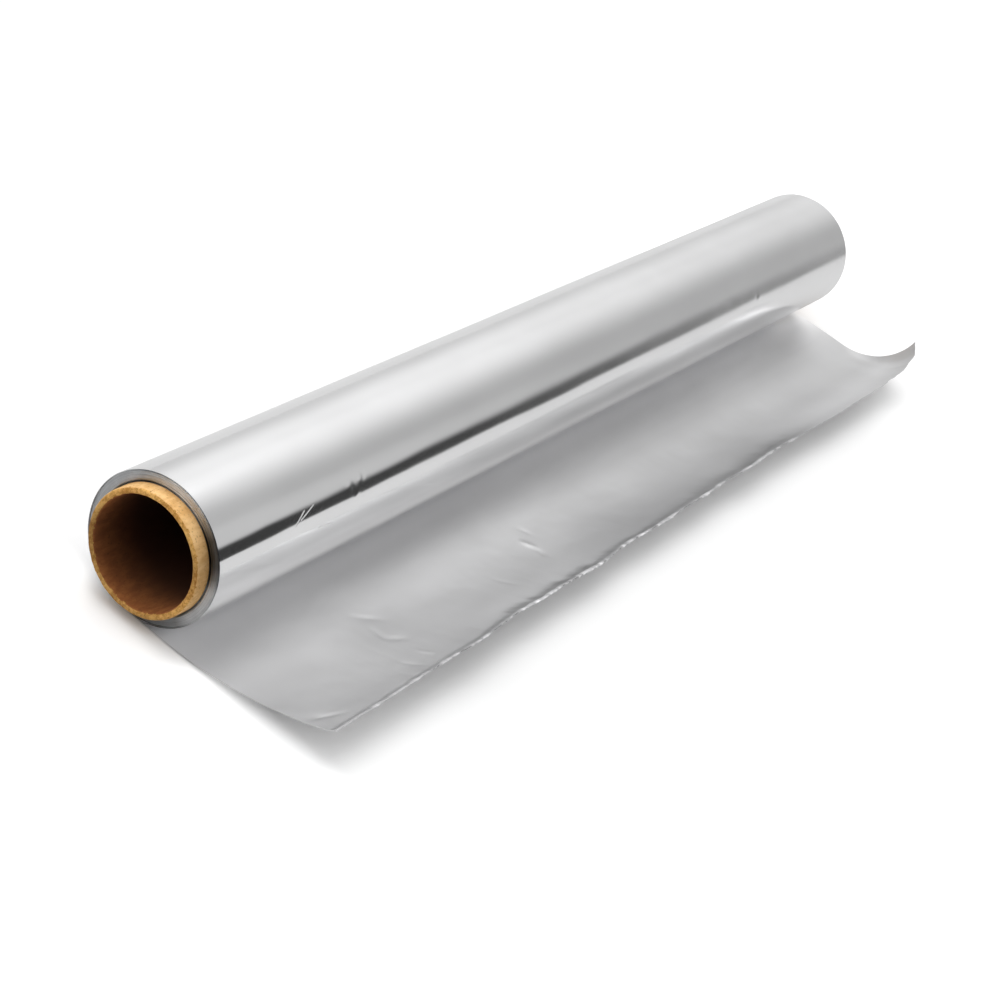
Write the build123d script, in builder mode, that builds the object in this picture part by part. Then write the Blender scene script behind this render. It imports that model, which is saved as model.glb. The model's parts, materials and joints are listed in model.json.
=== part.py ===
from build123d import *
import os
from math import cos, degrees, pi, radians, sin, sqrt

# A household roll of aluminium foil that lies on a table with its free end drawn out.
# X runs along the roll, the tail lies towards -Y, and the table is the plane Z = 0.
# Lengths are in millimetres and angles in degrees.

# Foil
foil_width = 300.0
winding = 2.75  # depth of all turns together, from the core to the outside
sheet_thickness = 0.3  # stands in for real foil, which is thinner than a hair
flat_spot = 6.0  # width of the underside that has settled flat on the table

# Cardboard core
core_diameter = 27.6
core_wall = 1.5
core_overhang = 3.5  # core that stands out of the foil at each end
core_rim = 0.4  # worn bevel on the rims
core_fit = 0.05  # clearance between the core and the first turn

# Turns, which show as one spiral line on each end of the winding
turn_pitch = 0.36
turn_line = 0.15  # width of the line between two turns
turn_depth = 0.2

# Tail: flat on the table, then curled up along an arc to its torn edge.
# Each station across the width has the flat length, counted from under the roll's axis,
# the height of the torn edge over the table, and the angle at which the sheet rises there.
near_flat = 10.0
near_lift = 10.8
near_angle = 29.0
bend_flat = 20.0
bend_lift = 9.6
bend_angle = 35.0
middle_flat = 27.7
middle_lift = 8.9
middle_angle = 47.0
shoulder_flat = 29.8
shoulder_lift = 8.8
shoulder_angle = 50.0
far_flat = 27.0
far_lift = 14.4
far_angle = 76.0
bend_place = 50.0  # distance of the bend station from the near end
corner_length = 16.0  # length of the far corner, which curls up higher
root_margin = 1.5  # tail that is drawn with the winding, past the nip between roll and tail
tail_sections = 24  # steps of the loft from the near end to the far end

# Torn edge: two uneven waves that die out towards the corners
tear_depth = 0.45
tear_wave = 46.0

# Worked out from the sizes above
core_radius = core_diameter / 2
bore_radius = core_radius - core_wall
first_turn_radius = core_radius + core_fit
foil_radius = first_turn_radius + winding
core_length = foil_width + 2 * core_overhang
axis_height = sqrt(foil_radius**2 - (flat_spot / 2) ** 2)
nip = sqrt(foil_radius**2 - (axis_height - sheet_thickness) ** 2)
tail_root = nip + root_margin

stations = (
    (0, near_flat, near_lift, near_angle),
    (bend_place, bend_flat, bend_lift, bend_angle),
    (foil_width / 2, middle_flat, middle_lift, middle_angle),
    (foil_width - corner_length, shoulder_flat, shoulder_lift, shoulder_angle),
    (foil_width, far_flat, far_lift, far_angle),
)


def tail_shape(place):
    # Flat length, lift and angle at a distance from the near end, straight between the stations
    for start, end in zip(stations, stations[1:]):
        if place <= end[0]:
            share = (place - start[0]) / (end[0] - start[0])
            return [a + (b - a) * share for a, b in zip(start[1:], end[1:])]


def tear(place):
    # How far the torn edge runs past the smooth one at a distance from the near end
    turn = 2 * pi * place / tear_wave
    return tear_depth * (sin(turn) + sin(1.7 * turn + 1)) * sin(pi * place / foil_width)


# Core: a paper tube, a little longer than the foil is wide
with BuildPart() as core:
    with BuildSketch(Plane.YZ.offset(-core_length / 2)):
        with Locations((0, axis_height)):
            Circle(core_radius)
            Circle(bore_radius, mode=Mode.SUBTRACT)
    extrude(amount=core_length)
    chamfer(core.edges().filter_by(GeomType.CIRCLE), min(core_rim, 0.45 * core_wall))

# Spiral line between the turns, at the near end: straight over the root of the tail,
# then half circles about the roll that close in on the core
with BuildPart() as turn_spiral:
    line_section = [(-turn_depth, 0), (0, -turn_line / 2), (turn_depth, 0), (0, turn_line / 2)]
    height = sheet_thickness
    with BuildSketch(Plane.XZ):
        with Locations((-foil_width / 2, height)):
            Polygon(*line_section)
    extrude(amount=nip + root_margin / 2)
    outer_turn = (axis_height + foil_radius) / 2 - sheet_thickness
    room = axis_height - first_turn_radius - turn_line - height
    for half_turn in range(int(2 * room / turn_pitch)):
        radius = outer_turn - half_turn * turn_pitch / 2
        rise = radius if half_turn % 2 == 0 else -radius
        with BuildSketch(Plane.XZ):
            with Locations((-foil_width / 2, height)):
                Polygon(*line_section)
        revolve(axis=Axis((0, 0, height + rise), (1, 0, 0)), revolution_arc=180)
        height += 2 * rise

# Foil: all turns of the winding and the drawn-out tail, one unbroken sheet
with BuildPart() as foil:
    # Winding, settled flat underneath, with the root of the tail under it
    with BuildSketch(Plane.YZ.offset(-foil_width / 2)):
        with Locations((0, axis_height)):
            Circle(foil_radius)
        Rectangle(2 * foil_radius, foil_radius, align=(Align.CENTER, Align.MAX), mode=Mode.SUBTRACT)
        Rectangle(tail_root, sheet_thickness, align=(Align.MAX, Align.MIN))
        with Locations((0, axis_height)):
            Circle(first_turn_radius, mode=Mode.SUBTRACT)
    extrude(amount=foil_width)
    with Locations((0, 0, 0), (foil_width, 0, 0)):
        add(turn_spiral.part, mode=Mode.SUBTRACT)

    # Tail, lofted through thin sections from the near end to the far end
    for step in range(tail_sections + 1):
        place = foil_width * step / tail_sections
        flat, lift, angle = tail_shape(place)
        curl_radius = lift / (1 - cos(radians(angle)))
        curl = angle + degrees(tear(place) / curl_radius)
        across = Plane((place - foil_width / 2, 0, 0), x_dir=(0, -1, 0), z_dir=(-1, 0, 0))
        with BuildSketch(across):
            with BuildLine():
                under = Line((tail_root, 0), (flat, 0))
                under_curl = JernArc(under @ 1, (1, 0), curl_radius, curl)
                top = Line((tail_root, sheet_thickness), (flat, sheet_thickness))
                top_curl = JernArc(top @ 1, (1, 0), curl_radius - sheet_thickness, curl)
                Line(under @ 0, top @ 0)
                Line(under_curl @ 1, top_curl @ 1)
            make_face()
    loft()

os.makedirs("parts", exist_ok=True)
core.part.label = "core"
export_step(core.part, "parts/core.step")
foil.part.label = "foil"
export_step(foil.part, "parts/foil.step")
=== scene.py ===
import json
from math import atan2, cos, degrees, exp, hypot, pi, radians, sin

import bmesh
import bpy
from mathutils import Matrix, Vector, noise


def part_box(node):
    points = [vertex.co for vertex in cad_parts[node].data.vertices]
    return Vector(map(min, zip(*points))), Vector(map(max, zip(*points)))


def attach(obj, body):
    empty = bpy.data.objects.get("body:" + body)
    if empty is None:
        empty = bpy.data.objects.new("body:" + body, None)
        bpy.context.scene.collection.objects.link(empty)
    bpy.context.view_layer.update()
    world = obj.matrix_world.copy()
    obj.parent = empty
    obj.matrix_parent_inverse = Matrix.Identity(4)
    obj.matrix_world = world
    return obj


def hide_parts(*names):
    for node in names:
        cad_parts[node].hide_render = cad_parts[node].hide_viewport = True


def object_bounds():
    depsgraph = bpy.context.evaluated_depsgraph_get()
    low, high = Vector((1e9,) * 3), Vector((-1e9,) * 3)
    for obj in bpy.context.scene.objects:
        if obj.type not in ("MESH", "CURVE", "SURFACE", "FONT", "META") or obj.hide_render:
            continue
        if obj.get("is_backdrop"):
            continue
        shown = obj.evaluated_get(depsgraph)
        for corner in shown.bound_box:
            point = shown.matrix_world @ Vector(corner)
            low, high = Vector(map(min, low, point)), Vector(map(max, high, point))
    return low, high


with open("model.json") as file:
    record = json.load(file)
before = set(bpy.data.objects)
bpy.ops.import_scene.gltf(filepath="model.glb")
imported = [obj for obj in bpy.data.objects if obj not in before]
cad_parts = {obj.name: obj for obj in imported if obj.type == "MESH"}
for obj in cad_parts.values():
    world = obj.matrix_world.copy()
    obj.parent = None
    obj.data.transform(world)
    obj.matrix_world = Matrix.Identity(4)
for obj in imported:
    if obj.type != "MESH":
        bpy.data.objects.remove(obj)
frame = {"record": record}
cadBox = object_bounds()
mm = 0.001

# Sizes of the roll, read from the frame
boreMount = next(m for m in frame["record"]["mounts"] if m["name"] == "core_bore")
axisHeight = boreMount["pos_m"][2]
boreRadius = boreMount["dims"]["r_mm"] * mm
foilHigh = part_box("foil")[1]
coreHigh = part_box("core")[1]
foilRadius = foilHigh.z - axisHeight
foilHalf = foilHigh.x
coreRadius = coreHigh.z - axisHeight
coreHalf = coreHigh.x
print("frame loaded: foil radius %.2f mm" % (foilRadius / mm))


# Camera and light

cameraSettings = {
    "place": (-0.50338, -0.18496, 0.29934),
    "forward": (0.80861, 0.28624, -0.51401),
    "up": (0.27920, 0.58233, 0.76350),
    "lens": 88.5,
    "sensor": 36.0,
    "clipStart": 0.01,
}

lightSettings = {
    "background": 1.0,  # what the camera sees behind the object
    "table": 0.7,  # below the horizon, past the edge of the floor
    "horizon": 0.004,  # half height of the change from the table to the room
    "sky": 0.47,
    # Soft lights: azimuth from -Y towards +X, elevation, spread, gain
    "hood": (125.0, 64.0, 28.0, 2.0),
    "key": (120.0, 45.0, 45.0, 0.68),
    "keyPower": 2.0,
    "panel": (46.0, 21.0, 18.0, 0.14),
    "fill": (240.0, 58.0, 45.0, 1.4),
    "glow": (127.0, 5.0, 28.0, 0.22),
    "dim": (300.0, 8.0, 70.0, -0.36),  # the room is darker behind the camera
    "front": (25.0, 50.0, 36.0, 0.6),
    "bandLevel": 0.045,  # dark room between the table and the lights
    "bandBehind": 0.20,  # the same towards -X
    "bandTurn": (-0.2, 0.2),  # heading towards +X over which one passes into the other
    "bandFoot": 0.24,  # sine of the elevation at which it ends, towards the front and towards +X
    "bandFootAside": 0.02,
    "footTurn": (0.70, 0.92),
    "bandTop": 0.26,
    "sweepAzimuth": 120.0,  # white paper behind the object hides the dark room
    "sweepOuter": 0.40,
    "sweepInner": 0.62,
}

floorSettings = {
    "half": 3.0,
    "depth": -0.2 * mm,
    "seen": (0.93, 0.93, 0.93, 1),
    "reflected": (0.70, 0.70, 0.70, 1),
    # Painted light on the paper, for the camera only: a little everywhere, most of all past both ends of the
    # roll and of the tail, where it lightens the shadow
    "lift": 0.04,
    "nearLift": 0.07,
    "liftRange": (-85 * mm, -140 * mm),
    "nearWhite": 0.30,
    "nearRoll": (-150.5 * mm, -157.0 * mm),
    "nearTail": (-144.5 * mm, -151.0 * mm),
    "tailSide": (-12 * mm, -24 * mm),  # from the roll to the tail
    "behind": (4 * mm, 14 * mm),
    "farWhite": 0.20,
    "farWhiteTail": 0.10,
    "farRange": (105 * mm, 140 * mm),
}


def addNode(tree, kind, settings=None, **values):
    node = tree.nodes.new(kind)
    for name, value in values.items():
        setattr(node, name, value)
    for name, value in (settings or {}).items():
        node.inputs[name].default_value = value
    return node


def mathNode(tree, operation, first, second=None):
    node = addNode(tree, "ShaderNodeMath", operation=operation)
    for socket, value in zip(node.inputs, (first, second)):
        if hasattr(value, "links"):
            tree.links.new(value, socket)
        elif value is not None:
            socket.default_value = value
    return node.outputs[0]


def ramp(tree, value, fromLow, fromHigh, toLow=0.0, toHigh=1.0, kind="SMOOTHSTEP"):
    node = addNode(tree, "ShaderNodeMapRange", interpolation_type=kind)
    tree.links.new(value, node.inputs["Value"])
    for name, bound in zip(("From Min", "From Max", "To Min", "To Max"), (fromLow, fromHigh, toLow, toHigh)):
        if hasattr(bound, "links"):
            tree.links.new(bound, node.inputs[name])
        else:
            node.inputs[name].default_value = bound
    return node.outputs["Result"]


def mixColour(tree, factor, first, second, blend="MIX"):
    node = addNode(tree, "ShaderNodeMix", data_type="RGBA", blend_type=blend)
    for socket, value in zip((node.inputs[0], node.inputs[6], node.inputs[7]), (factor, first, second)):
        if hasattr(value, "links"):
            tree.links.new(value, socket)
        else:
            socket.default_value = value
    return node.outputs[2]


def facing(azimuth, elevation):
    around, rise = radians(azimuth), radians(elevation)
    return Vector((sin(around) * cos(rise), -cos(around) * cos(rise), sin(rise)))


def placeCamera():
    data = bpy.data.cameras.new("photoCamera")
    data.lens = cameraSettings["lens"]
    data.sensor_width = cameraSettings["sensor"]
    data.clip_start = cameraSettings["clipStart"]
    camera = bpy.data.objects.new("photoCamera", data)
    bpy.context.scene.collection.objects.link(camera)
    back = -Vector(cameraSettings["forward"]).normalized()
    up = Vector(cameraSettings["up"])
    right = up.cross(back).normalized()
    turn = Matrix((right, back.cross(right), back)).transposed()
    camera.matrix_world = Matrix.Translation(cameraSettings["place"]) @ turn.to_4x4()
    bpy.context.scene.camera = camera


def lightStudio():
    s = lightSettings
    world = bpy.data.worlds.new("studio")
    bpy.context.scene.world = world
    world.use_nodes = True
    tree = world.node_tree
    tree.nodes.clear()
    direction = addNode(tree, "ShaderNodeTexCoord").outputs["Generated"]
    parts = addNode(tree, "ShaderNodeSeparateXYZ")
    tree.links.new(direction, parts.inputs[0])
    height = parts.outputs["Z"]

    def towards(aim, source=direction):
        node = addNode(tree, "ShaderNodeVectorMath", operation="DOT_PRODUCT")
        tree.links.new(source, node.inputs[0])
        node.inputs[1].default_value = aim
        return node.outputs["Value"]

    def softLight(name, low=0.0):
        azimuth, elevation, spread, gain = s[name]
        return ramp(tree, towards(facing(azimuth, elevation)), cos(radians(spread)), 1.0, low, low + gain)

    azimuth, elevation, spread, gain = s["key"]
    key = ramp(tree, towards(facing(azimuth, elevation)), cos(radians(spread)), 1.0, kind="LINEAR")
    key = mathNode(tree, "MULTIPLY", mathNode(tree, "POWER", key, s["keyPower"]), gain)
    sky = mathNode(tree, "ADD", softLight("hood", s["sky"]), key)
    for name in ("panel", "fill", "glow", "dim", "front"):
        sky = mathNode(tree, "ADD", sky, softLight(name))

    level = addNode(tree, "ShaderNodeCombineXYZ")
    tree.links.new(parts.outputs["X"], level.inputs["X"])
    tree.links.new(parts.outputs["Y"], level.inputs["Y"])
    heading = addNode(tree, "ShaderNodeVectorMath", operation="NORMALIZE")
    tree.links.new(level.outputs[0], heading.inputs[0])
    sweep = ramp(tree, towards(facing(s["sweepAzimuth"], 0), heading.outputs["Vector"]),
                 s["sweepOuter"], s["sweepInner"])
    east = towards((1, 0, 0), heading.outputs["Vector"])
    foot = ramp(tree, east, *s["footTurn"], s["bandFoot"], s["bandFootAside"], "LINEAR")
    clear = mathNode(tree, "MAXIMUM", sweep, ramp(tree, height, foot, s["bandTop"]))
    room = ramp(tree, east, *s["bandTurn"], s["bandBehind"], s["bandLevel"])
    sky = ramp(tree, clear, 0.0, 1.0, room, sky, "LINEAR")
    lit = ramp(tree, height, -s["horizon"], s["horizon"], s["table"], sky)

    light = addNode(tree, "ShaderNodeBackground")
    tree.links.new(lit, light.inputs["Strength"])
    white = addNode(tree, "ShaderNodeBackground", {"Strength": s["background"]})
    white.inputs["Color"].default_value = (1, 1, 1, 1)
    light.inputs["Color"].default_value = (1, 1, 1, 1)
    pick = addNode(tree, "ShaderNodeMixShader")
    tree.links.new(addNode(tree, "ShaderNodeLightPath").outputs["Is Camera Ray"], pick.inputs[0])
    tree.links.new(light.outputs[0], pick.inputs[1])
    tree.links.new(white.outputs[0], pick.inputs[2])
    tree.links.new(pick.outputs[0], addNode(tree, "ShaderNodeOutputWorld").inputs[0])


def layFloor():
    s = floorSettings
    bm = bmesh.new()
    bmesh.ops.create_grid(bm, x_segments=1, y_segments=1, size=s["half"])
    bmesh.ops.translate(bm, verts=bm.verts, vec=(0, 0, s["depth"]))
    mesh = bpy.data.meshes.new("floor")
    bm.to_mesh(mesh)
    bm.free()
    floor = bpy.data.objects.new("floor", mesh)
    bpy.context.scene.collection.objects.link(floor)
    paper = bpy.data.materials.new("floorPaper")
    paper.use_nodes = True
    tree = paper.node_tree
    tree.nodes.clear()
    matte = addNode(tree, "ShaderNodeBsdfDiffuse")
    path = addNode(tree, "ShaderNodeLightPath")
    colour = mixColour(tree, path.outputs["Is Camera Ray"], s["reflected"], s["seen"])
    tree.links.new(colour, matte.inputs["Color"])
    parts = addNode(tree, "ShaderNodeSeparateXYZ")
    tree.links.new(addNode(tree, "ShaderNodeTexCoord").outputs["Object"], parts.inputs[0])
    along = parts.outputs["X"]
    tailShare = ramp(tree, parts.outputs["Y"], *s["tailSide"])
    clear = mathNode(tree, "MAXIMUM", tailShare, ramp(tree, parts.outputs["Y"], *s["behind"]))
    start, full = [ramp(tree, clear, 0.0, 1.0, roll, tail, "LINEAR")
                   for roll, tail in zip(s["nearRoll"], s["nearTail"])]
    near = ramp(tree, along, start, full, s["lift"], s["lift"] + s["nearWhite"])
    tailPaintedLight = mathNode(tree, "MULTIPLY", tailShare, ramp(tree, along, *s["liftRange"], 0.0, s["nearLift"]))
    farTop = ramp(tree, tailShare, 0.0, 1.0, s["farWhite"], s["farWhiteTail"], "LINEAR")
    far = ramp(tree, along, *s["farRange"], 0.0, farTop)
    # Painted light that lightens the floor's shadow past the ends of the roll and of the tail
    paintedFloorLight = mathNode(tree, "ADD", near, mathNode(tree, "ADD", tailPaintedLight, far))
    glow = addNode(tree, "ShaderNodeEmission")
    tree.links.new(mathNode(tree, "MULTIPLY", path.outputs["Is Camera Ray"], paintedFloorLight), glow.inputs["Strength"])
    both = addNode(tree, "ShaderNodeAddShader")
    tree.links.new(matte.outputs[0], both.inputs[0])
    tree.links.new(glow.outputs[0], both.inputs[1])
    tree.links.new(both.outputs[0], addNode(tree, "ShaderNodeOutputMaterial").inputs["Surface"])
    mesh.materials.append(paper)
    floor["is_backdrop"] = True


bpy.context.scene.view_settings.view_transform = "Standard"
placeCamera()
lightStudio()
layFloor()
print("camera, light and floor placed")


# Effects that several finishes share

# A stretch is the scale along the three axes, a detail the detail and the roughness of the noise
grainSettings = {
    "lineStretch": (1.0, 0.02, 0.02),
    "lineDetail": (3.0, 0.6),
    "cloudStretch": (0.5, 1.0, 1.0),
    "cloudDetail": (3.0, 0.55),
    "cloudRange": (0.3, 0.7),
    "scuffStretch": (0.25, 1.0, 1.0),
    "scuffScale": 420.0,
    "scuffDetail": (4.0, 0.7),
    "scuffRange": (0.60, 0.78),
}
fibreSettings = {
    "fibreStretch": (0.35, 1.0, 1.0),
    "fibreDetail": (5.0, 0.65),
    "speckDetail": (2.0, 0.5),
    "speckRange": (0.60, 0.72),
    "blotchScale": 130.0,
    "blotchDetail": (3.0, 0.6),
}


def newGroup(name, inputs, outputs):
    group = bpy.data.node_groups.new(name, "ShaderNodeTree")
    for socket, kind in inputs:
        group.interface.new_socket(socket, in_out="INPUT", socket_type=kind)
    for socket in outputs:
        group.interface.new_socket(socket, in_out="OUTPUT", socket_type="NodeSocketFloat")
    return group, addNode(group, "NodeGroupInput"), addNode(group, "NodeGroupOutput")


def stretched(tree, source, scale):
    node = addNode(tree, "ShaderNodeMapping")
    tree.links.new(source, node.inputs["Vector"])
    node.inputs["Scale"].default_value = scale
    return node.outputs[0]


def cloudNoise(tree, source, scale, detail, rough):
    node = addNode(tree, "ShaderNodeTexNoise", {"Detail": detail, "Roughness": rough})
    tree.links.new(source, node.inputs["Vector"])
    if hasattr(scale, "links"):
        tree.links.new(scale, node.inputs["Scale"])
    else:
        node.inputs["Scale"].default_value = scale
    return node.outputs[0]


def makeRolledGrain():
    # Fine lines from the rolling mill, which run round the roll, soft clouds of wear and scuffs
    s = grainSettings
    tree, start, end = newGroup("rolledGrain", [("Position", "NodeSocketVector"),
                                                ("Line Scale", "NodeSocketFloat"),
                                                ("Cloud Scale", "NodeSocketFloat")],
                                ["Lines", "Clouds", "Scuffs"])

    def grain(kind, scale):
        position = stretched(tree, start.outputs["Position"], s[kind + "Stretch"])
        return cloudNoise(tree, position, scale, *s[kind + "Detail"])

    lines = grain("line", start.outputs["Line Scale"])
    clouds = grain("cloud", start.outputs["Cloud Scale"])
    scuffs = grain("scuff", s["scuffScale"])
    tree.links.new(lines, end.inputs["Lines"])
    tree.links.new(clouds, end.inputs["Clouds"])
    tree.links.new(ramp(tree, scuffs, *s["scuffRange"]), end.inputs["Scuffs"])
    return tree


def makePaperFibre():
    # Long fibres, dark specks and blotches of unbleached paper board
    s = fibreSettings
    tree, start, end = newGroup("paperFibre", [("Position", "NodeSocketVector"),
                                               ("Fibre Scale", "NodeSocketFloat"),
                                               ("Speck Scale", "NodeSocketFloat")],
                                ["Fibre", "Speck", "Blotch"])
    position = start.outputs["Position"]
    along = stretched(tree, position, s["fibreStretch"])
    fibre = cloudNoise(tree, along, start.outputs["Fibre Scale"], *s["fibreDetail"])
    speck = cloudNoise(tree, position, start.outputs["Speck Scale"], *s["speckDetail"])
    blotch = cloudNoise(tree, position, s["blotchScale"], *s["blotchDetail"])
    tree.links.new(fibre, end.inputs["Fibre"])
    tree.links.new(ramp(tree, speck, *s["speckRange"]), end.inputs["Speck"])
    tree.links.new(blotch, end.inputs["Blotch"])
    return tree


def makeScratch():
    # Mark along a straight line between two points
    tree, start, end = newGroup("scratch", [("Position", "NodeSocketVector"),
                                            ("From", "NodeSocketVector"),
                                            ("To", "NodeSocketVector"),
                                            ("Half Width", "NodeSocketFloat")],
                                ["Mark"])

    def vectors(operation, first, second, output="Vector"):
        node = addNode(tree, "ShaderNodeVectorMath", operation=operation)
        tree.links.new(first, node.inputs[0])
        tree.links.new(second, node.inputs["Scale"] if operation == "SCALE" else node.inputs[1])
        return node.outputs[output]

    offset = vectors("SUBTRACT", start.outputs["Position"], start.outputs["From"])
    line = vectors("SUBTRACT", start.outputs["To"], start.outputs["From"])
    share = mathNode(tree, "DIVIDE", vectors("DOT_PRODUCT", offset, line, "Value"),
                     vectors("DOT_PRODUCT", line, line, "Value"))
    share = ramp(tree, share, 0.0, 1.0, kind="LINEAR")
    aside = vectors("DISTANCE", offset, vectors("SCALE", line, share), "Value")
    tree.links.new(ramp(tree, aside, start.outputs["Half Width"], 0.0), end.inputs["Mark"])
    return tree


rolledGrain = makeRolledGrain()
scratch = makeScratch()
paperFibre = makePaperFibre()


def placeGroup(tree, group, settings):
    node = addNode(tree, "ShaderNodeGroup", node_tree=group)
    for name, value in settings.items():
        node.inputs[name].default_value = value
    tree.links.new(addNode(tree, "ShaderNodeTexCoord").outputs["Object"], node.inputs["Position"])
    return node


def newFinish(name, settings):
    finish = bpy.data.materials.new(name)
    finish.use_nodes = True
    tree = finish.node_tree
    tree.nodes.clear()
    shader = addNode(tree, "ShaderNodeBsdfPrincipled", settings)
    tree.links.new(shader.outputs[0], addNode(tree, "ShaderNodeOutputMaterial").inputs["Surface"])
    return finish, tree, shader


def addBump(tree, shader, height, distance):
    bump = addNode(tree, "ShaderNodeBump", {"Strength": 1.0, "Distance": distance})
    tree.links.new(height, bump.inputs["Height"])
    tree.links.new(bump.outputs[0], shader.inputs["Normal"])


def axisRadius(tree):
    # Distance of a point from the roll's axis
    parts = addNode(tree, "ShaderNodeSeparateXYZ")
    tree.links.new(addNode(tree, "ShaderNodeTexCoord").outputs["Object"], parts.inputs[0])
    across = parts.outputs["Y"]
    above = mathNode(tree, "SUBTRACT", parts.outputs["Z"], axisHeight)
    square = mathNode(tree, "ADD", mathNode(tree, "MULTIPLY", across, across),
                      mathNode(tree, "MULTIPLY", above, above))
    return mathNode(tree, "SQRT", square), parts.outputs["X"]


# Foil finishes: bright outside, matte inside, and the cut edges of the turns

brightSettings = {
    "pale": (0.88, 0.88, 0.885, 1),
    "deep": (0.83, 0.83, 0.835, 1),
    "lineScale": 1500.0,
    "cloudScale": 45.0,
    "nearRough": 0.075,
    "farRough": 0.16,
    "cloudRough": 0.035,
    "scuffRough": 0.06,
    "lineHeight": 0.0006 * mm,
    "scuffHeight": 0.004 * mm,
    "scratchRough": 0.3,
    "scratchDepth": 0.03 * mm,
    # Distance from the middle and angle up from the front at both ends, half width
    "scratches": ((-121.5, 36.0, -124.8, 28.0, 0.22), (-118.2, 37.0, -123.0, 30.0, 0.18),
                  (-116.5, 18.0, -111.5, 16.0, 0.25)),
}
matteSettings = {
    "pale": (0.72, 0.72, 0.725, 1),
    "deep": (0.66, 0.66, 0.665, 1),
    "lineScale": 1100.0,
    "cloudScale": 30.0,
    "lowRough": 0.44,
    "highRough": 0.51,
    "lineHeight": 0.002 * mm,
    # How dark the painted shade of the strip inside the torn edge gets, and the view angles over which it
    # sets in
    "stripDepth": 0.34,
    "stripBlend": 0.5,
    "stripAslant": (0.62, 0.80),
}
edgeSettings = {
    "pale": (0.95, 0.975, 1.0, 1),
    "deep": (0.62, 0.635, 0.65, 1),
    "lineScale": 700.0,
    "cloudScale": 260.0,
    "lowRough": 0.32,
    "highRough": 0.46,
    "turnScale": 9000.0,
    "ringDetail": 3.0,
    "ringRough": 0.7,
    "ringShare": 0.65,
    "shadeRange": (0.35, 0.65),
    "lineHeight": 0.02 * mm,
}


def rollPoint(place, angle):
    around = radians(angle)
    return Vector((place * mm, -foilRadius * cos(around), axisHeight + foilRadius * sin(around)))


def makeBright():
    s = brightSettings
    finish, tree, shader = newFinish("foilBright", {"Metallic": 1.0})
    grain = placeGroup(tree, rolledGrain, {"Line Scale": s["lineScale"], "Cloud Scale": s["cloudScale"]})
    cloud = ramp(tree, grain.outputs["Clouds"], *grainSettings["cloudRange"])
    tree.links.new(mixColour(tree, cloud, s["deep"], s["pale"]), shader.inputs["Base Color"])
    along = axisRadius(tree)[1]
    rough = ramp(tree, along, -foilHalf, foilHalf, s["nearRough"], s["farRough"], "LINEAR")
    rough = mathNode(tree, "ADD", rough, mathNode(tree, "MULTIPLY", grain.outputs["Clouds"], s["cloudRough"]))
    rough = mathNode(tree, "ADD", rough, mathNode(tree, "MULTIPLY", grain.outputs["Scuffs"], s["scuffRough"]))
    marks = 0.0
    for fromPlace, fromAngle, toPlace, toAngle, half in s["scratches"]:
        ends = {"From": rollPoint(fromPlace, fromAngle), "To": rollPoint(toPlace, toAngle)}
        mark = placeGroup(tree, scratch, {**ends, "Half Width": half * mm})
        marks = mathNode(tree, "MAXIMUM", mark.outputs["Mark"], marks)
    rough = mathNode(tree, "ADD", rough, mathNode(tree, "MULTIPLY", marks, s["scratchRough"]))
    tree.links.new(rough, shader.inputs["Roughness"])
    height = mathNode(tree, "SUBTRACT", mathNode(tree, "MULTIPLY", grain.outputs["Lines"], s["lineHeight"]),
                      mathNode(tree, "MULTIPLY", marks, s["scratchDepth"]))
    scuffs = mathNode(tree, "MULTIPLY", grain.outputs["Scuffs"], s["scuffHeight"])
    addBump(tree, shader, mathNode(tree, "ADD", height, scuffs), 1.0)
    return finish


def makeMatte():
    s = matteSettings
    finish, tree, shader = newFinish("foilMatte", {"Metallic": 1.0})
    grain = placeGroup(tree, rolledGrain, {"Line Scale": s["lineScale"], "Cloud Scale": s["cloudScale"]})
    cloudRange = grainSettings["cloudRange"]
    colour = mixColour(tree, ramp(tree, grain.outputs["Clouds"], *cloudRange), s["deep"], s["pale"])
    # Painted light and shade on the sheet, from the mesh's vertex colours
    tone = addNode(tree, "ShaderNodeAttribute", attribute_name="tone").outputs["Color"]
    colour = mixColour(tree, 1.0, colour, tone, "MULTIPLY")
    # Painted shade on the strip inside the torn edge, in place of the shade of a steeper fold: dark when it
    # is seen from the side
    strip = addNode(tree, "ShaderNodeAttribute", attribute_name="strip").outputs["Fac"]
    aslant = addNode(tree, "ShaderNodeLayerWeight", {"Blend": s["stripBlend"]}).outputs["Facing"]
    dark = mathNode(tree, "MULTIPLY", strip, ramp(tree, aslant, *s["stripAslant"], 0.0, s["stripDepth"]))
    tree.links.new(mixColour(tree, dark, colour, (0, 0, 0, 1)), shader.inputs["Base Color"])
    tree.links.new(ramp(tree, grain.outputs["Clouds"], *cloudRange, s["lowRough"], s["highRough"]),
                   shader.inputs["Roughness"])
    addBump(tree, shader, grain.outputs["Lines"], s["lineHeight"])
    return finish


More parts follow.
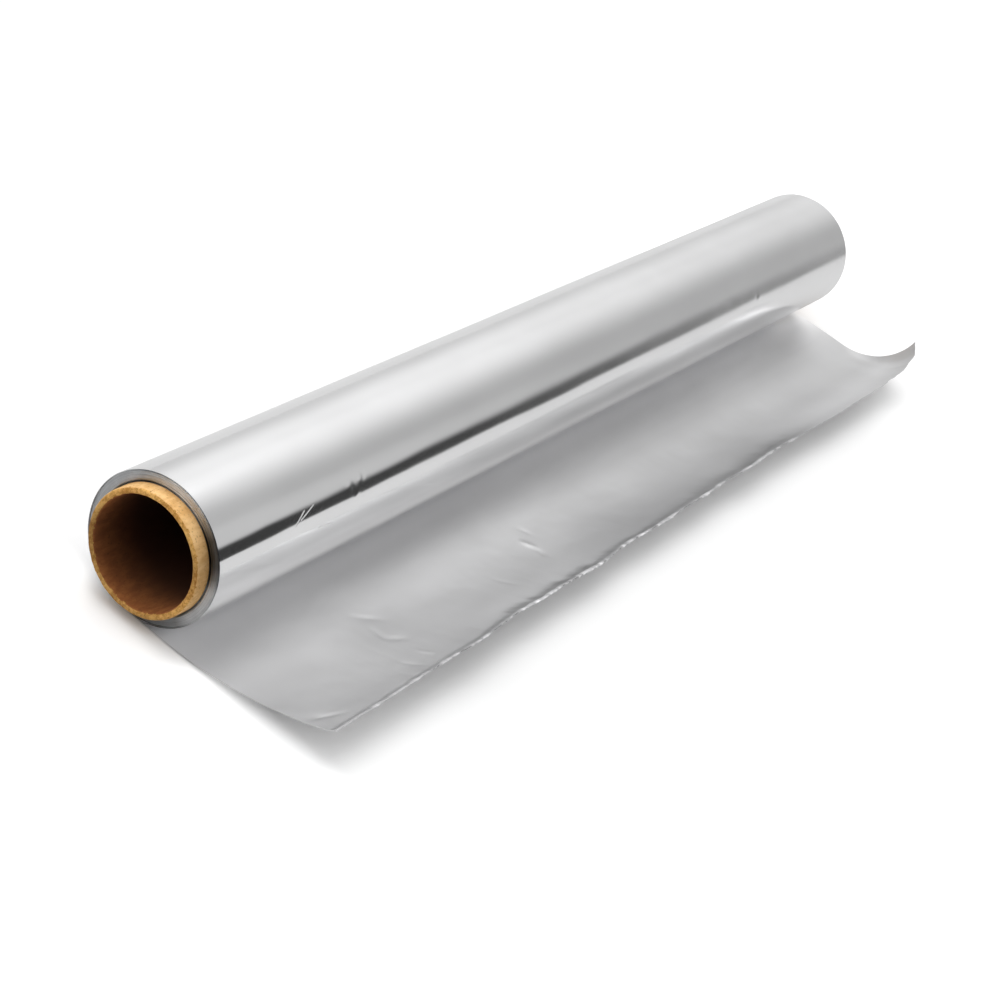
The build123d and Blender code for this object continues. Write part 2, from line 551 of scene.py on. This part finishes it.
def makeTurnEdges():
    s = edgeSettings
    finish, tree, shader = newFinish("foilTurnEdges", {"Metallic": 1.0})
    grain = placeGroup(tree, rolledGrain, {"Line Scale": s["lineScale"], "Cloud Scale": s["cloudScale"]})
    radius = axisRadius(tree)[0]
    ringNoise = {"Scale": s["turnScale"], "Detail": s["ringDetail"], "Roughness": s["ringRough"]}
    rings = addNode(tree, "ShaderNodeTexNoise", ringNoise, noise_dimensions="1D")
    tree.links.new(radius, rings.inputs["W"])
    shade = mathNode(tree, "ADD", mathNode(tree, "MULTIPLY", rings.outputs[0], s["ringShare"]),
                     mathNode(tree, "MULTIPLY", grain.outputs["Clouds"], 1 - s["ringShare"]))
    colour = mixColour(tree, ramp(tree, shade, *s["shadeRange"]), s["deep"], s["pale"])
    # Painted light and shade round the ring's end, from the mesh's vertex colours
    tone = addNode(tree, "ShaderNodeAttribute", attribute_name="tone").outputs["Color"]
    tree.links.new(mixColour(tree, 1.0, colour, tone, "MULTIPLY"), shader.inputs["Base Color"])
    cloudRange = grainSettings["cloudRange"]
    tree.links.new(ramp(tree, grain.outputs["Clouds"], *cloudRange, s["lowRough"], s["highRough"]),
                   shader.inputs["Roughness"])
    addBump(tree, shader, rings.outputs[0], s["lineHeight"])
    return finish


# Board finishes: the smooth skin, the cut rim and the bore

boardSettings = {"specular": 0.3, "speckScale": 1800.0, "fibreShare": 0.6, "shadeRange": (0.38, 0.62),
                 "speckShare": 0.6, "darkPower": 0.5}
skinSettings = {
    "pale": (0.93, 0.60, 0.27, 1),
    "deep": (0.74, 0.42, 0.15, 1),
    "speck": (0.36, 0.18, 0.06, 1),
    "rough": 0.78,
    "fibreHeight": 0.03 * mm,
    "fibreScale": 700.0,
}
rimSettings = {
    "pale": (0.87, 0.50, 0.15, 1),
    "deep": (0.46, 0.21, 0.045, 1),
    "speck": (0.26, 0.11, 0.02, 1),
    "rough": 0.9,
    "fibreHeight": 0.12 * mm,
    "fibreScale": 1500.0,
}
boreSettings = {
    "pale": (0.48, 0.175, 0.05, 1),
    "deep": (0.33, 0.11, 0.032, 1),
    "speck": (0.18, 0.07, 0.02, 1),
    "rough": 0.85,
    "fibreHeight": 0.05 * mm,
    "fibreScale": 800.0,
    # Painted shade deep in the bore: its colour and the depth over which it sets in
    "dark": (0.07, 0.026, 0.012, 1),
    "darkDepth": 18 * mm,
}


def makeBoard(name, s):
    b = boardSettings
    finish, tree, shader = newFinish(name, {"Roughness": s["rough"], "Specular IOR Level": b["specular"]})
    paper = placeGroup(tree, paperFibre, {"Fibre Scale": s["fibreScale"], "Speck Scale": b["speckScale"]})
    shade = mathNode(tree, "ADD", mathNode(tree, "MULTIPLY", paper.outputs["Fibre"], b["fibreShare"]),
                     mathNode(tree, "MULTIPLY", paper.outputs["Blotch"], 1 - b["fibreShare"]))
    colour = mixColour(tree, ramp(tree, shade, *b["shadeRange"]), s["deep"], s["pale"])
    specks = mathNode(tree, "MULTIPLY", paper.outputs["Speck"], b["speckShare"])
    colour = mixColour(tree, specks, colour, s["speck"])
    if "dark" in s:
        # Painted shade inside the bore: the board darkens with the distance from the open ends
        inside = mathNode(tree, "ABSOLUTE", axisRadius(tree)[1])
        depth = ramp(tree, inside, coreHalf, coreHalf - s["darkDepth"], kind="SMOOTHERSTEP")
        colour = mixColour(tree, mathNode(tree, "POWER", depth, b["darkPower"]), colour, s["dark"])
    # Painted light and shade from the mesh's vertex colours
    boardPaintedShade = addNode(tree, "ShaderNodeAttribute", attribute_name="tone").outputs["Color"]
    tree.links.new(mixColour(tree, 1.0, colour, boardPaintedShade, "MULTIPLY"), shader.inputs["Base Color"])
    addBump(tree, shader, paper.outputs["Fibre"], s["fibreHeight"])
    return finish


foilBright, foilMatte, foilTurnEdges = makeBright(), makeMatte(), makeTurnEdges()
boardSkin = makeBoard("boardSkin", skinSettings)
boardRim = makeBoard("boardRim", rimSettings)
boardBore = makeBoard("boardBore", boreSettings)
print("finishes made")


def finishPiece(name, bm, finishes, node, settings):
    mesh = bpy.data.meshes.new(name)
    bm.to_mesh(mesh)
    bm.free()
    for polygon in mesh.polygons:
        polygon.use_smooth = True
    mesh.set_sharp_from_angle(angle=radians(settings["sharpAngle"]))
    for finish in finishes:
        mesh.materials.append(finish)
    piece = bpy.data.objects.new(name, mesh)
    bpy.context.scene.collection.objects.link(piece)
    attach(piece, "root")
    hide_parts(node)
    print("%s: %d faces" % (name, len(mesh.polygons)))


def extrudePoint(bm, vert, co):
    made = bmesh.ops.extrude_vert_indiv(bm, verts=[vert])["verts"][0]
    made.co = co
    return made


def between(rows, place):
    place = min(max(place, rows[0][0]), rows[-1][0])
    for start, end in zip(rows, rows[1:]):
        if place <= end[0]:
            share = (place - start[0]) / (end[0] - start[0])
            return [a + (b - a) * share for a, b in zip(start[1:], end[1:])]


def eased(share):
    share = min(max(share, 0.0), 1.0)
    return share * share * (3 - 2 * share)


def arrived(value, span):
    # 0 at the start of the span and 1 at its end, with a soft change between
    return eased((value - span[0]) / (span[1] - span[0]))


# Winding: all turns as one ring, with the spiral of their edges on both ends

windingSettings = {
    "steps": 192,
    "wallCuts": 150,
    "fineCuts": ((-108.0, -97.0, 40), (86.0, 94.0, 20)),  # closer cuts where the wall is dented
    "turns": 26,
    "turnShape": (0.12, 0.55, 0.78),  # start of a turn's crest, its width and the valley after it, in pitches
    "coreGap": 0.05 * mm,
    "edgeDepth": 0.10 * mm,  # how deep the line between two turns lies
    "stray": 0.22 * mm,  # how far single turns sit back from the end
    # Size, rate along the spiral, seed and seed per end
    "strayWaves": ((0.5, 1.7, 2.3, 5), (0.35, 9.0, 7.1, 3)),
    "strayBase": 0.5,
    "inset": 0.09 * mm,
    "wave": 0.06 * mm,
    # Size, rate along the roll, rate round it and seed
    "waves": ((1.0, 22, 1.6, 0), (0.35, 60, 4, 9)),
    "crimp": 0.010 * mm,  # small unevenness of the outer turn
    "crimpRates": (130, 160, 4.0),
    "gapDepth": 0.9 * mm,  # the first turns on the core sit deeper
    "gapWidth": 0.25 * mm,
    "grooveDepth": 0.5 * mm,  # and so do the turns under the outer one
    "grooveTurn": 2.2,
    "grooveHalf": 1.1,
    "wallDepth": 0.2 * mm,
    # Dents: distance from the middle, angle up from the front, depth, half width and half height
    "dents": ((-105.2, 37.5, -0.025, 0.9, 0.9), (-103.8, 35.0, 0.04, 0.8, 1.5),
              (-102.6, 32.0, -0.02, 0.8, 0.9), (-101.2, 39.5, -0.03, 0.7, 0.8),
              (-100.0, 40.5, 0.03, 0.7, 0.7), (90.0, 30.0, 0.02, 1.0, 1.0), (91.5, 28.0, -0.02, 0.9, 0.9),
              (75.0, 38.0, 0.03, 1.8, 1.2), (-134.0, 31.0, 0.02, 3.0, 1.6)),
    # Painted light and shade round the ring's end: angle up from the front, level
    "tones": ((-180, 0.8), (-90, 0.5), (-60, 0.42), (-45, 0.48), (-32, 0.9), (-15, 1.0), (4, 0.95), (13, 0.5),
              (24, 0.22), (44, 0.24), (56, 0.65), (68, 1.0), (95, 1.0), (120, 0.85), (180, 0.8)),
    "seat": 0.17 * mm,  # the tail passes under the roll
    "weld": 0.0005 * mm,
    "sharpAngle": 40,
}


def buildWinding():
    s = windingSettings
    inner = coreRadius + s["coreGap"]
    outer = foilRadius - s["inset"]
    pitch = (outer - inner) / (s["turns"] + 1)
    bm = bmesh.new()
    turnLayer = bm.verts.layers.float.new("turn")  # -1 on the walls, else the turn that a point lies on
    endLayer = bm.verts.layers.float.new("end")
    paintedShadeLayer = bm.verts.layers.float_color.new("tone")

    # Profile below the axis: near bore edge, near turns, outer wall, far turns, far bore edge
    points = []
    crestStart, crestWidth, valley = s["turnShape"]
    for end in (-1, 1):
        turns = []
        for turn in range(s["turns"]):
            crest = outer - pitch * (turn + crestStart)
            turns.append((turn, end, end * foilHalf, crest))
            turns.append((turn, end, end * foilHalf, crest - crestWidth * pitch))
            turns.append((turn, end, end * (foilHalf - s["edgeDepth"]), crest - valley * pitch))
        turns.append((-1, end, end * (foilHalf - s["edgeDepth"]), inner))
        if end < 0:
            points += turns[::-1]
            wall = [foilHalf * (2 * cut / s["wallCuts"] - 1) for cut in range(s["wallCuts"] + 1)]
            for start, stop, cuts in s["fineCuts"]:
                wall = [x for x in wall if not start * mm < x < stop * mm]
                wall += [(start + (stop - start) * cut / cuts) * mm for cut in range(cuts + 1)]
            points += [(-1, 0, x, outer) for x in sorted(wall)]
        else:
            points += turns
    first = vert = None
    for turn, end, x, radius in points:
        co = Vector((x, 0, axisHeight - radius))
        vert = extrudePoint(bm, vert, co) if vert else bm.verts.new(co)
        vert[turnLayer], vert[endLayer] = turn, end
        first = first or vert
    bm.edges.new((vert, first))
    bmesh.ops.spin(bm, geom=bm.verts[:] + bm.edges[:], cent=(0, 0, axisHeight), axis=(1, 0, 0),
                   angle=2 * pi, steps=s["steps"], use_merge=False)

    bm.verts.ensure_lookup_table()
    perStep = len(bm.verts) // (s["steps"] + 1)
    for index, vert in enumerate(bm.verts):
        step = index // perStep
        share = step / s["steps"]
        radius = hypot(vert.co.y, vert.co.z - axisHeight)
        turn = vert[turnLayer]
        if turn >= 0:
            # The turns run inwards by one pitch in a full circle, so each meets the next
            radius -= pitch * share
            along = turn + share
            back = s["strayBase"]
            for size, rate, seed, endSeed in s["strayWaves"]:
                back += size * noise.noise(Vector((along * rate, seed, vert[endLayer] * endSeed)))
            setBack = s["stray"] * max(back, 0)
            setBack += s["gapDepth"] * exp(-(((radius - inner) / s["gapWidth"]) ** 2))
            setBack += s["grooveDepth"] * exp(-(((along - s["grooveTurn"]) / s["grooveHalf"]) ** 2))
            vert.co.x -= vert[endLayer] * setBack
        around = 2 * pi * share
        depth = (radius - inner) / (outer - inner)
        swell = 0.0
        for size, rate, turnRate, seed in s["waves"]:
            point = Vector((vert.co.x * rate, turnRate * sin(around), turnRate * cos(around) + seed))
            swell += size * noise.noise(point)
        radius += s["wave"] * swell * depth
        if turn < 0 and depth > 0.5:
            # Only the outer wall is crimped and dented
            rate, arcRate, seed = s["crimpRates"]
            arc = foilRadius * around
            radius += s["crimp"] * noise.noise(Vector((vert.co.x * rate, arc * arcRate, seed)))
            for place, angle, dip, halfWidth, halfHeight in s["dents"]:
                aside = (vert.co.x / mm - place) / halfWidth
                aloft = foilRadius / mm * (radians(270 - angle) - around) / halfHeight
                radius -= dip * mm * exp(-(aside**2) - aloft**2)
        vert.co.y = radius * sin(around)
        vert.co.z = max(axisHeight - radius * cos(around), s["seat"])
        # Painted light and shade round the ring's end, by the angle round the axis
        tone = between(s["tones"], (450 - 360 * share) % 360 - 180)[0]
        vert[paintedShadeLayer] = (tone, tone, tone, 1)
    bmesh.ops.remove_doubles(bm, verts=bm.verts, dist=s["weld"])
    bmesh.ops.holes_fill(bm, edges=[e for e in bm.edges if e.is_boundary], sides=0)
    bmesh.ops.recalc_face_normals(bm, faces=bm.faces)
    for face in bm.faces:
        middle = face.calc_center_median()
        wall = hypot(middle.y, middle.z - axisHeight) > outer - s["wallDepth"] and abs(face.normal.x) < 0.5
        face.material_index = 0 if wall else 1
    return bm


# Tail: one sheet that is bent row by row from its root under the roll to its torn edge

# All lengths in millimetres; a place is counted from the near end, a run along the sheet from under the axis
tailSettings = {
    "columns": 720,
    "flatRows": 8,
    "curlRows": 28,
    "lipRows": 25,
    "lipZone": 6.5,
    "root": 2.5,
    "sheet": 0.08,
    "seat": 0.06,
    # Place, flat length, lift of the torn edge and its angle
    "stations": ((0, 10.0, 9.6, 25.9), (50, 20.0, 9.6, 35.0), (150, 27.7, 8.9, 47.0),
                 (284, 29.8, 8.8, 50.0), (295, 29.9, 10.6, 56.0), (300, 27.2, 14.4, 76.0)),
    "ease": 7.0,
    "probes": 4,
    # Place, and how far the torn edge is drawn out there; it drops by a share of that
    "slide": ((0, 0.0), (10, 0.85), (20, 1.2), (40, 0.95), (56, 1.0), (75, 1.55), (115, 1.95), (130, 1.55),
              (175, 1.25), (195, 0.85), (275, 1.0), (290, 0.0), (300, 0.0)),
    "drop": 0.65,
    "tearDepth": 0.3,
    "tearWave": 46.0,
    "tearMix": (1.7, 1.0),  # rate and phase of a second wave
    # Noise along the edge: size, rate, two seeds
    "jags": ((1.0, 0.21, 5.3, 0), (0.5, 0.8, 1.7, 0)),
    "frays": ((0.3, 1.7, 3.1, 0),),
    "jagDepth": 0.5,
    "jagBase": 0.15,
    "jagPlaces": (0, 12),
    "meanLoss": 0.35,
    # Place, depth and half width
    "notches": ((229.0, 0.5, 1.2), (245.0, 0.5, 1.0), (271.0, 0.7, 1.6), (281.0, 0.8, 1.2)),
    # Place, width and angle of the steep strip inside the lip, width of the lip
    "lip": ((0, 1.0, 44, 0.6), (40, 1.2, 47, 0.7), (62, 2.6, 51, 0.9), (74, 4.4, 52, 0.9), (84, 4.4, 53, 0.8),
            (105, 3.2, 54, 1.1), (135, 2.3, 54, 0.8), (165, 5.0, 55, 0.9), (215, 6.0, 55, 0.9),
            (232, 5.0, 50, 0.6), (300, 4.0, 50, 0.4)),
    "stripNoise": ((0.35, 0.18, 4.4, 0), (0.1, 0.6, 3.6, 0)),
    "lipNoise": ((0.5, 0.35, 9.2, 0), (0.15, 0.8, 2.7, 0)),
    "lipAngle": 20.0,
    "lipTurn": ((15, 0.3, 6.1, 0),),
    # The lip is whole at the near corner, then in dashes, then it ends
    "lipWhole": (30, 44),
    "dashes": ((1.0, 0.2, 0.4, 2.2), (0.7, 0.7, 8.4, 2.2)),
    "dashRange": (-0.25, 0.15),
    "dashLow": 0.25,
    "lipEnd": (214.0, 222.0),
    "foldLength": 0.3,
    # Place, and how dark the strip's painted shade is there
    "stripShade": ((0, 0.0), (20, 0.1), (45, 0.35), (60, 0.6), (72, 1.0), (98, 1.0), (125, 0.7), (150, 0.55),
                   (215, 0.6), (235, 0.0), (300, 0.0)),
    "shadeNoise": ((0.5, 0.25, 0.7, 6.0),),
    "shadeReach": 1.4,
    # Painted light and shade on the sheet, where it looks brighter or darker: gain, and the places and runs
    # over which it sets in
    "patches": ((0.34, (-1, 0), (24, 8)), (-0.23, (60, 180), (10, 26)), (-0.05, (40, 10), (24, 40)),
                (0.14, (274, 290), (34, 24)), (0.28, (205, 250), (36, 46)), (0.10, (282, 294), (36, 44))),
    # Painted shade: the middle of the near half is darker, but not along its torn edge
    "midDull": 0.10,
    "midPlaces": (130, 90),
    "midRuns": (26, 34),
    "edgePlaces": (60, 80),
    "edgeRuns": (40, 46),
    # Angle, rate by place, rate by run and seed
    "ripple": (0.045, 0.035, 0.07, 3.0),
    # The loose sheet stands a little off the table, in swells: height, rate by place, rate by run and seed
    "looseRuns": (8, 28),
    "looseLift": 0.10,
    "swells": ((0.10, 0.03, 0.05, 7.7), (0.05, 0.11, 0.16, 1.1), (0.02, 0.33, 0.4, 5.0)),
    "strainWidth": 9.0,
    "strainSwells": ((0.09, 0.3, 0.1, 2.9),),
    # Creases: place and run of the start and of the end, depth, width
    "creases": (((44.0, 26.8), (50.0, 31.0), 0.10, 0.8), ((44.5, 31.5), (42.5, 36.5), 0.10, 0.8),
                ((42.0, 35.9), (47.0, 38.9), 0.15, 0.7), ((107.5, 30.5), (108.5, 34.9), -0.20, 1.0),
                ((108.5, 34.9), (106.0, 38.9), 0.15, 0.8), ((112.0, 27.0), (113.0, 31.0), 0.08, 0.9),
                ((0.0, 44.8), (9.5, 49.0), 0.14, 0.8), ((3.0, 36.0), (13.0, 37.0), 0.05, 0.8),
                ((36.0, 44.0), (38.5, 50.0), 0.08, 0.7), ((43.0, 43.0), (45.0, 48.0), -0.08, 0.7),
                ((28.0, 38.0), (33.0, 39.0), 0.05, 0.8), ((86.0, 36.0), (88.0, 42.0), 0.07, 0.8)),
    "creaseStart": (-0.15, 0.45),
    "creaseEnd": (1.15, 0.55),
    "creaseSkew": 0.5,
    "sharpAngle": 60,
}


def rounded(rows, place):
    # Values between the rows, rounded where the rows meet
    count = tailSettings["probes"]
    reach = min(tailSettings["ease"], place, rows[-1][0] - place)
    probes = [between(rows, place + reach * k / count) for k in range(-count, count + 1)]
    return [sum(values) / len(probes) for values in zip(*probes)]


def uneven(waves, place):
    return sum(size * noise.noise(Vector((place * rate, *seeds))) for size, rate, *seeds in waves)


def swells(waves, place, run):
    return sum(size * noise.noise(Vector((place * placeRate, run * runRate, seed)))
               for size, placeRate, runRate, seed in waves)


def tearLine(place):
    # How far the waves of the torn edge stand out, and how much its jags and notches take away
    s = tailSettings
    turn = 2 * pi * place / s["tearWave"]
    width = s["stations"][-1][0]
    rate, phase = s["tearMix"]
    wave = s["tearDepth"] * (sin(turn) + sin(rate * turn + phase)) * sin(pi * place / width)
    jag = sum(abs(uneven([row], place)) for row in s["jags"]) + uneven(s["frays"], place)
    loss = (s["jagDepth"] * jag + s["jagBase"]) * arrived(place, s["jagPlaces"])
    for middle, depth, half in s["notches"]:
        loss += depth * exp(-(((place - middle) / half) ** 2))
    return wave, loss


def lipMask(place):
    # Where the torn lip has folded over
    s = tailSettings
    broken = s["dashLow"] + (1 - s["dashLow"]) * arrived(uneven(s["dashes"], place), s["dashRange"])
    whole = 1 - arrived(place, s["lipWhole"])
    return max(broken, whole) * (1 - arrived(place, s["lipEnd"]))


# Painted light and shade on the sheet: brighter patches by the root and towards the far corner, darker ones
# elsewhere
def sheetPaintedShade(place, run):
    s = tailSettings
    tone = 1.0
    for gain, places, runs in s["patches"]:
        tone *= 1 + gain * arrived(place, places) * arrived(run, runs)
    edge = arrived(run, s["edgeRuns"]) * arrived(place, s["edgePlaces"])
    paintedDull = s["midDull"] * arrived(run, s["midRuns"]) * arrived(place, s["midPlaces"]) * (1 - edge)
    return tone * (1 - paintedDull)


def tailColumn(place):
    # One line of points from the root to the torn edge: run, y, z, the sheet's painted light and shade, the
    # strip's painted shade
    s = tailSettings
    flat, lift, angle = rounded(s["stations"], place)
    slide = rounded(s["slide"], place)[0]
    curl = lift / (1 - cos(radians(angle)))
    wave, loss = tearLine(place)
    length = curl * radians(angle) + wave - loss
    stripWidth, stripAngle, lipWidth = between(s["lip"], place)
    stripEnd = curl * radians(angle) + wave - s["meanLoss"] - lipWidth
    steeper = max(radians(stripAngle - angle), 0)
    stripWidth *= 1 + uneven(s["stripNoise"], place)
    lipWidth *= 1 + uneven(s["lipNoise"], place)
    folded = lipMask(place)
    lipAngle = radians(s["lipAngle"] + uneven(s["lipTurn"], place))
    stripShade = between(s["stripShade"], place)[0] * (1 + uneven(s["shadeNoise"], place))
    runs = [-s["root"] + (flat + s["root"]) * row / s["flatRows"] for row in range(s["flatRows"])]
    runs += [flat + (length - s["lipZone"]) * row / s["curlRows"] for row in range(s["curlRows"])]
    runs += [flat + length - s["lipZone"] * (1 - row / s["lipRows"]) for row in range(s["lipRows"] + 1)]
    y, z = s["root"], s["seat"] + s["sheet"] / 2
    column = [(runs[0], y, z, 1.0, 0.0)]
    for start, end in zip(runs, runs[1:]):
        bend = 0.0
        past = (start + end) / 2 - flat
        if past > 0:
            bend = past / curl
            bend += steeper * eased((past - stripEnd + stripWidth) / stripWidth)
            bend += swells([s["ripple"]], place, past) * past / length
            over = folded * eased((past - length + lipWidth) / s["foldLength"])
            bend += (lipAngle - bend) * over
        y -= (end - start) * cos(bend)
        z += (end - start) * sin(bend)
        fromLip = length - lipWidth - (end - flat)
        # Painted shade of the strip, strongest just inside the lip
        shade = stripShade * eased(s["shadeReach"] - (stripEnd - end + flat) / stripWidth)
        shade *= eased(1 + fromLip / s["foldLength"])
        drawn = slide * (max(end - flat, 0) / length) ** 2
        column.append((end, y - drawn, z - s["drop"] * drawn, sheetPaintedShade(place, end), shade))
    return column


def creaseLift(place, run):
    s = tailSettings
    lift = 0.0
    for (startPlace, startRun), (endPlace, endRun), depth, width in s["creases"]:
        alongPlace, alongRun = endPlace - startPlace, endRun - startRun
        span = hypot(alongPlace, alongRun)
        share = ((place - startPlace) * alongPlace + (run - startRun) * alongRun) / span**2
        aside = ((place - startPlace) * alongRun - (run - startRun) * alongPlace) / span
        fade = arrived(share, s["creaseStart"]) * arrived(share, s["creaseEnd"])
        skew = 1 - s["creaseSkew"] * aside / (abs(aside) + width)
        lift -= depth * fade * exp(-((aside / width) ** 2)) * skew
    return lift


def buildTail():
    s = tailSettings
    width = s["stations"][-1][0]
    rows = s["flatRows"] + s["curlRows"] + s["lipRows"]
    columns = [tailColumn(width * column / s["columns"]) for column in range(s["columns"] + 1)]
    bm = bmesh.new()
    # Painted light and shade of the sheet, and painted shade of the strip inside the torn edge
    paintedShadeLayer = bm.verts.layers.float_color.new("tone")
    stripShadeLayer = bm.verts.layers.float.new("strip")
    bmesh.ops.create_grid(bm, x_segments=s["columns"], y_segments=rows, size=0.5)
    for vert in bm.verts:
        column = round((vert.co.x + 0.5) * s["columns"])
        row = round((vert.co.y + 0.5) * rows)
        place = width * column / s["columns"]
        run, y, z, tone, vert[stripShadeLayer] = columns[column][row]
        vert[paintedShadeLayer] = (tone, tone, tone, 1)
        z += arrived(run, s["looseRuns"]) * (s["looseLift"] + swells(s["swells"], place, run))
        strain = eased(1 - (columns[column][-1][0] - run) / s["strainWidth"])
        z += strain * swells(s["strainSwells"], place, run)
        z += creaseLift(place, run)
        low = s["seat"] + s["sheet"] / 2
        vert.co = Vector((place - width / 2, y, max(z, low))) * mm
    bm.normal_update()
    made = bmesh.ops.solidify(bm, geom=bm.faces[:], thickness=s["sheet"] * mm)
    bmesh.ops.recalc_face_normals(bm, faces=bm.faces)
    # The matte side is the one that faces up at the root
    copied = {element for element in made["geom"] if isinstance(element, bmesh.types.BMFace)}
    root = max(copied, key=lambda face: face.calc_center_median().y)
    copiedFinish = 0 if root.normal.z > 0 else 1
    for face in bm.faces:
        face.material_index = copiedFinish if face in copied else 1 - copiedFinish
    return bm


# Core: a paper tube with worn rims

coreSettings = {
    "steps": 192,
    "boreCuts": 120,
    "rimCuts": 7,
    "turnSteps": 4,
    "skinSteps": (0.5, 1.2, 2.0, 3.0, 4.5),
    "round": 0.62 * mm,
    "fuzz": 0.13 * mm,
    "fuzzZone": 0.6 * mm,
    "fuzzWaves": ((1.0, 900), (0.6, 2300)),
    "fuzzBase": 0.3,
    "seamLead": 62 * mm,
    "seamWidth": 0.5 * mm,
    "seamDepth": 0.12 * mm,
    "seamSlant": 0.78,
    "boreZone": 0.05 * mm,
    # Faces this close to the end are rim, and this close to the bore's wall are bore
    "rimFaces": 0.3 * mm,
    "boreFaces": 0.4 * mm,
    # Painted light and shade round the tube: angle up from the front, level
    "tones": ((-180, 0.62), (-160, 0.58), (-130, 0.75), (-90, 0.9), (-60, 0.9), (-15, 1.05), (10, 0.85),
              (28, 0.72), (50, 0.95), (75, 1.14), (135, 1.14), (160, 0.9), (180, 0.62)),
    "sharpAngle": 60,
}


def buildCore():
    s = coreSettings
    bm = bmesh.new()
    paintedShadeLayer = bm.verts.layers.float_color.new("tone")
    profile = []
    bevel = [pi / 2 * k / s["turnSteps"] for k in range(s["turnSteps"] + 1)]
    wall = coreRadius - boreRadius - 2 * s["round"]
    for end in (-1, 1):
        rim = []
        for a in bevel:
            rim.append((end * (coreHalf - s["round"] * (1 - sin(a))), boreRadius + s["round"] * (1 - cos(a))))
        for k in range(1, s["rimCuts"]):
            rim.append((end * coreHalf, boreRadius + s["round"] + wall * k / s["rimCuts"]))
        for a in bevel:
            rim.append((end * (coreHalf - s["round"] * (1 - cos(a))), coreRadius - s["round"] * (1 - sin(a))))
        reach = end * (coreHalf - s["round"])
        skin = [(reach - end * step * mm, coreRadius) for step in s["skinSteps"]]
        if end < 0:
            profile += rim + skin
        else:
            profile += skin[::-1] + rim[::-1]
    half = coreHalf - s["round"]
    profile += [(half * (1 - 2 * cut / s["boreCuts"]), boreRadius) for cut in range(1, s["boreCuts"])]
    first = vert = None
    for x, radius in profile:
        co = Vector((x, 0, axisHeight - radius))
        vert = extrudePoint(bm, vert, co) if vert else bm.verts.new(co)
        first = first or vert
    bm.edges.new((vert, first))
    bmesh.ops.spin(bm, geom=bm.verts[:] + bm.edges[:], cent=(0, 0, axisHeight), axis=(1, 0, 0),
                   angle=2 * pi, steps=s["steps"], use_merge=True)
    bmesh.ops.recalc_face_normals(bm, faces=bm.faces)
    for vert in bm.verts:
        x, y, z = vert.co.x, vert.co.y, vert.co.z - axisHeight
        radius = hypot(y, z)
        around = atan2(z, y)
        # Painted light and shade round the tube, by the angle round the axis
        tone = between(s["tones"], degrees(atan2(z, -y)))[0]
        vert[paintedShadeLayer] = (tone, tone, tone, 1)
        if abs(x) > coreHalf - s["fuzzZone"]:
            grain = sum(size * noise.noise(Vector((y, z, x)) * rate) for size, rate in s["fuzzWaves"])
            vert.co.x -= (1 if x > 0 else -1) * s["fuzz"] * max(grain + s["fuzzBase"], 0)
        elif radius < boreRadius + s["boreZone"]:
            turn = (x / s["seamLead"] - around / (2 * pi)) % 1.0
            aside = min(turn, 1 - turn) * s["seamLead"] * s["seamSlant"]
            grow = s["seamDepth"] * exp(-((aside / s["seamWidth"]) ** 2))
            vert.co.y *= (radius + grow) / radius
            vert.co.z = axisHeight + z * (radius + grow) / radius
    for face in bm.faces:
        middle = face.calc_center_median()
        radius = hypot(middle.y, middle.z - axisHeight)
        if abs(middle.x) > coreHalf - s["rimFaces"]:
            face.material_index = 1
        elif radius < boreRadius + s["boreFaces"]:
            face.material_index = 2
        else:
            face.material_index = 0
    return bm


finishPiece("foilWinding", buildWinding(), [foilBright, foilTurnEdges], "foil", windingSettings)
finishPiece("foilTail", buildTail(), [foilMatte, foilBright], "foil", tailSettings)
finishPiece("coreTube", buildCore(), [boardSkin, boardRim, boardBore], "core", coreSettings)

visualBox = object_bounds()
for name, box in (("CAD", cadBox), ("scene", visualBox)):
    print(name, "box in mm", [[round(v / mm, 2) for v in corner] for corner in box])
